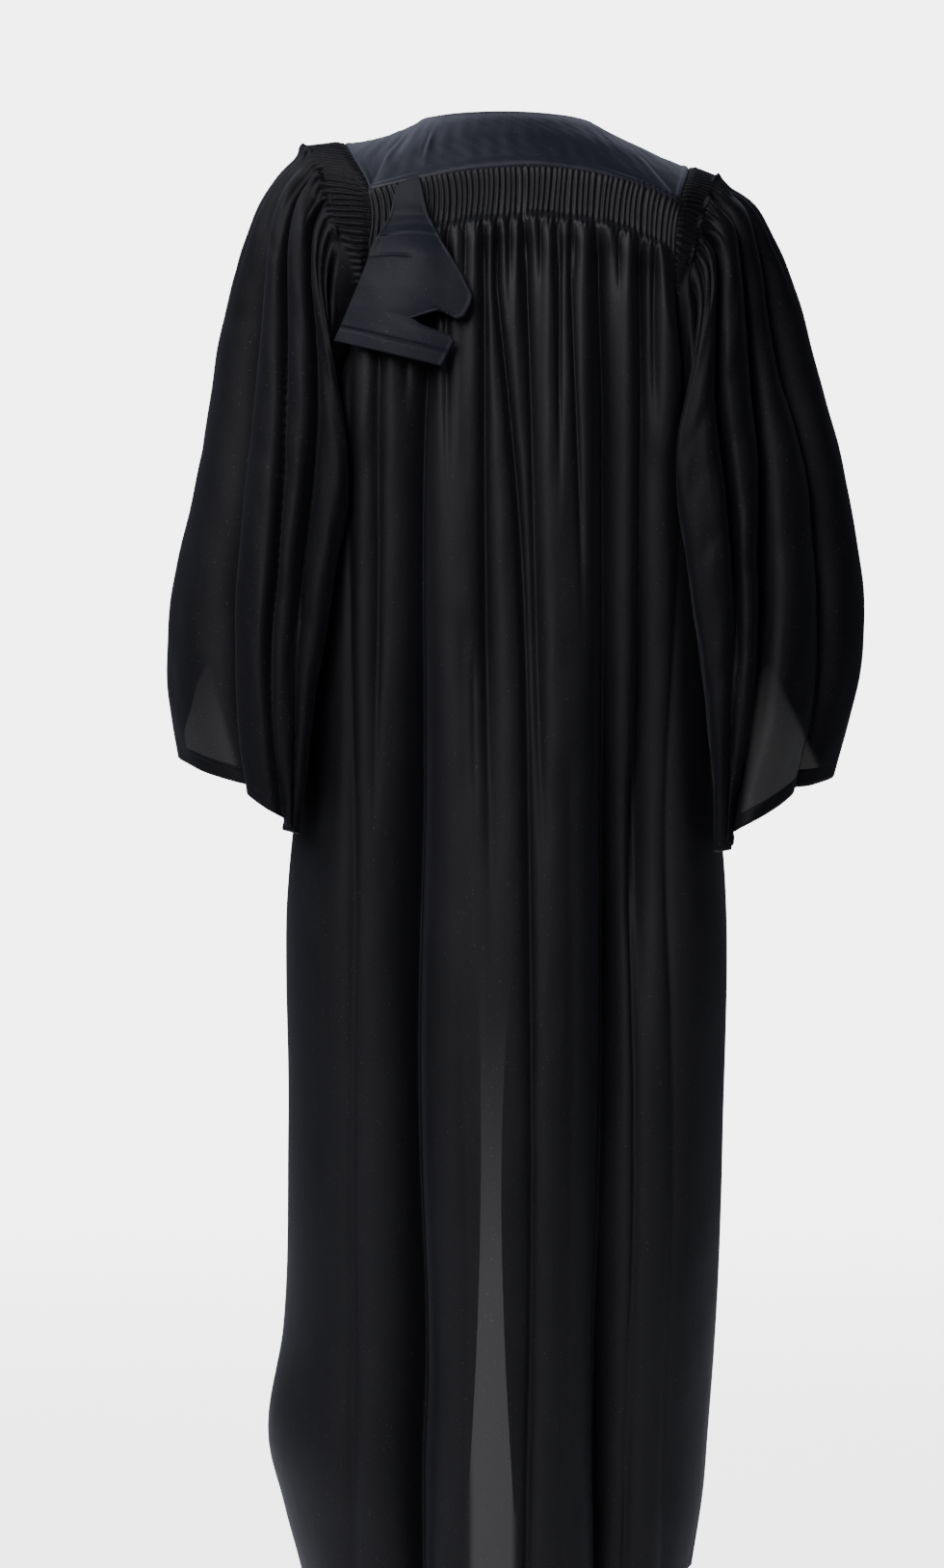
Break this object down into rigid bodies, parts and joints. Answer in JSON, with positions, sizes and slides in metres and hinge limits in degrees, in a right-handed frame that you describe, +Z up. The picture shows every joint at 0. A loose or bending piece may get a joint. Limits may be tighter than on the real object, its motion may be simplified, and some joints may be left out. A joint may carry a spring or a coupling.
{
  "type": "advocate gown",
  "caption": "Black court gown, worn form: smooth yoke, gauged back and sleeve heads, open front, bell sleeves and a small hood piece on the left shoulder.",
  "frame": {"origin": "middle of the neck opening, level with the wearer's shoulders, which hold the gown up", "axes": "+Z up; the back of the gown faces +Y and its open front faces -Y; the wearer's left is +X"},
  "size_m": [0.6652, 0.3407, 1.4113],
  "materials": {
    "gown_cloth": "satin",
    "yoke_cloth": "satin"
  },
  "bodies": {
    "root": {"back_panel": "gown_cloth", "front_left": "gown_cloth", "front_right": "gown_cloth", "sleeve_left": "gown_cloth", "sleeve_right": "gown_cloth", "yoke": "yoke_cloth", "hood_piece": "yoke_cloth"}
  },
  "joints": []
}
